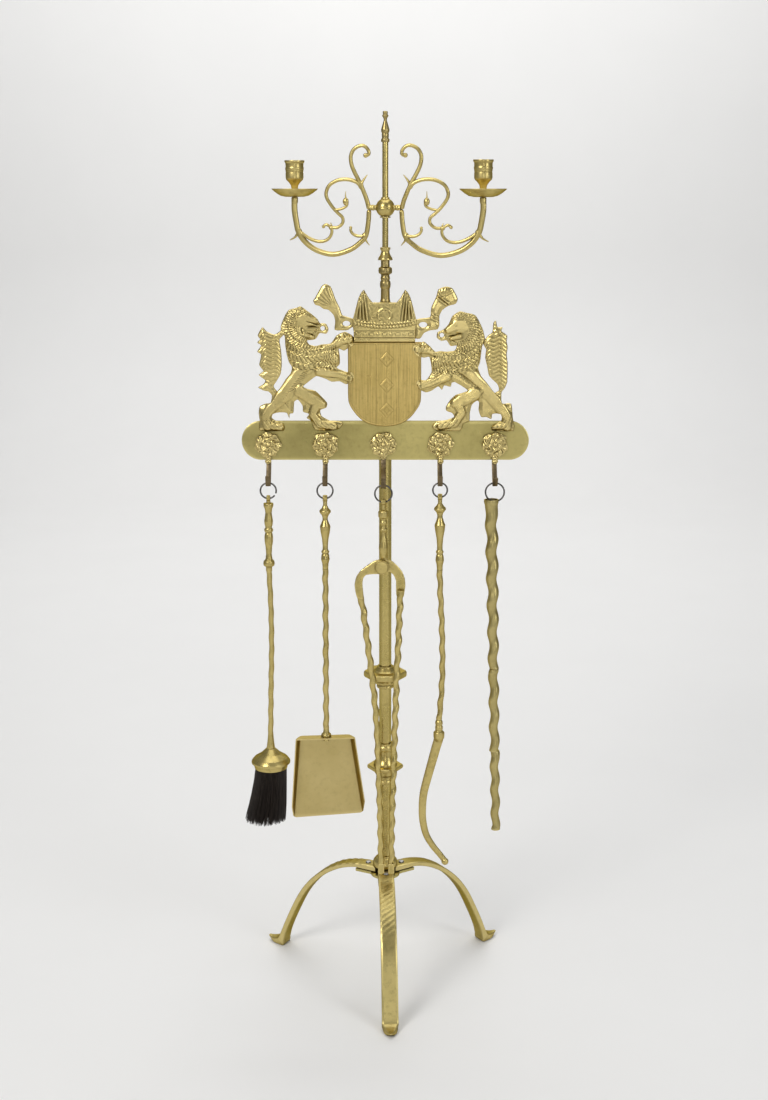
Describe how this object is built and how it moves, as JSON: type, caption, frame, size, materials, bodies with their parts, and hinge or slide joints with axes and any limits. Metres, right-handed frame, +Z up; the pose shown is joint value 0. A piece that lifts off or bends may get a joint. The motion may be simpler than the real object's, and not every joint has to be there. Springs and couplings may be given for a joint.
{
  "type": "fireplace tool set",
  "caption": "Brass fireside companion stand on a bent tripod with a crested hook bar, candle arms and hanging brush, shovel, tongs, poker and blow pipe.",
  "frame": {"origin": "on the floor, at the middle of the footprint, below and in front of the column", "axes": "+Z up the column, -Y towards the viewer and the front foot, +X to the viewer's right"},
  "size_m": [0.4077, 0.3117, 1.2579],
  "materials": {
    "brass": "aged polished brass",
    "brass_satin": "satin, slightly green aged brass",
    "brass_dark": "dark aged brass",
    "brass_shield": "brushed warm brass",
    "brass_cast": "cast brass, dark in the recesses",
    "bronze_strap": "brown tarnished strap",
    "steel_wire": "dark steel wire",
    "steel_plain": "plain steel",
    "bristle": "dark brown natural bristle"
  },
  "bodies": {
    "stand": {"leg_front": "brass_satin", "leg_left": "brass_satin", "leg_right": "brass_satin", "spider_plate": "brass_satin", "base_fixings": "steel_plain", "hub_knob": "brass", "tie_rod": "steel_plain", "column_lower": "brass_satin", "column_middle": "brass_satin", "column_upper": "brass_satin", "collar_upper": "brass", "collar_lower": "brass", "crossbar": "brass_satin", "rosettes": "brass_cast", "hook_brush": "bronze_strap", "hook_shovel": "bronze_strap", "hook_tongs": "bronze_strap", "hook_poker": "bronze_strap", "hook_pipe": "bronze_strap", "shield": "brass_shield", "crown": "brass_cast", "rear_brackets": "brass", "rear_fixings": "steel_plain", "lion_left": "brass_cast", "lion_right": "brass_cast", "plumes": "brass_cast", "crown_stem": "brass_dark", "bell_nut": "brass", "candle_rod": "brass", "finial": "brass_dark"},
    "candle_slide": {"ball_bush": "brass"},
    "candelabra": {"ball": "brass", "arm_left": "brass", "arm_right": "brass", "drip_pan_left": "brass", "drip_pan_right": "brass", "candle_cup_left": "brass", "candle_cup_right": "brass"},
    "height_screw": {"height_screw": "brass"},
    "ring_brush": {"ring_brush": "steel_wire"},
    "ring_shovel": {"ring_shovel": "steel_wire"},
    "ring_tongs": {"ring_tongs": "steel_wire"},
    "ring_poker": {"ring_poker": "steel_wire"},
    "ring_pipe": {"ring_pipe": "steel_wire"},
    "brush": {"brush_handle": "brass", "brush_shaft": "brass", "brush_cap": "brass", "brush_bristles": "bristle"},
    "shovel": {"shovel_handle": "brass", "shovel_shaft": "brass", "shovel_pan": "brass"},
    "tongs": {"tongs_handle": "brass", "tongs_pivot": "brass"},
    "tongs_left": {"tongs_arm_left": "brass"},
    "tongs_right": {"tongs_arm_right": "brass"},
    "poker": {"poker_handle": "brass", "poker_shaft": "brass"},
    "pipe": {"pipe_upper": "brass", "pipe_middle": "brass", "pipe_lower": "brass"}
  },
  "joints": [
    {"name": "candle_height", "type": "slide", "parent": "stand", "child": "candle_slide", "axis": [0, 0, 1], "range_m": [-0.028, 0.072]},
    {"name": "candle_turn", "type": "hinge", "parent": "candle_slide", "child": "candelabra", "pos_m": [0, 0.0469, 1.125], "axis": [0, 0, 1], "continuous": true},
    {"name": "height_screw_turn", "type": "hinge", "parent": "candelabra", "child": "height_screw", "pos_m": [0, 0.0469, 1.125], "axis": [0.2419, 0.9703, 0], "range_deg": [0, 180]},
    {"name": "brush_lift", "type": "slide", "parent": "stand", "child": "ring_brush", "axis": [0, -0.5, 0.866], "range_m": [0, 0.07]},
    {"name": "shovel_lift", "type": "slide", "parent": "stand", "child": "ring_shovel", "axis": [0, -0.5, 0.866], "range_m": [0, 0.07]},
    {"name": "tongs_lift", "type": "slide", "parent": "stand", "child": "ring_tongs", "axis": [0, -0.5, 0.866], "range_m": [0, 0.07]},
    {"name": "poker_lift", "type": "slide", "parent": "stand", "child": "ring_poker", "axis": [0, -0.5, 0.866], "range_m": [0, 0.07]},
    {"name": "pipe_lift", "type": "slide", "parent": "stand", "child": "ring_pipe", "axis": [0, -0.7071, 0.7071], "range_m": [0, 0.07]},
    {"name": "brush_swing", "type": "hinge", "parent": "ring_brush", "child": "brush", "pos_m": [-0.165, 0.0169, 0.71835], "axis": [-1, 0, 0], "range_deg": [-5, 30]},
    {"name": "shovel_swing", "type": "hinge", "parent": "ring_shovel", "child": "shovel", "pos_m": [-0.085, 0.0169, 0.71835], "axis": [-1, 0, 0], "range_deg": [-5, 30]},
    {"name": "tongs_swing", "type": "hinge", "parent": "ring_tongs", "child": "tongs", "pos_m": [-0.0026, -0.0011, 0.71655], "axis": [-1, 0, 0], "range_deg": [-2, 30]},
    {"name": "poker_swing", "type": "hinge", "parent": "ring_poker", "child": "poker", "pos_m": [0.0773, 0.0169, 0.72015], "axis": [-1, 0, 0], "range_deg": [-5, 30]},
    {"name": "pipe_swing", "type": "hinge", "parent": "ring_pipe", "child": "pipe", "pos_m": [0.1546, 0.0169, 0.71425], "axis": [-1, 0, 0], "range_deg": [-5, 30]},
    {"name": "tongs_left_open", "type": "hinge", "parent": "tongs", "child": "tongs_left", "pos_m": [-0.005, -0.0011, 0.624], "axis": [0, 1, 0], "range_deg": [0, 10]},
    {"name": "tongs_right_open", "type": "hinge", "parent": "tongs", "child": "tongs_right", "pos_m": [-0.005, -0.0011, 0.624], "axis": [0, -1, 0], "range_deg": [0, 10]}
  ]
}
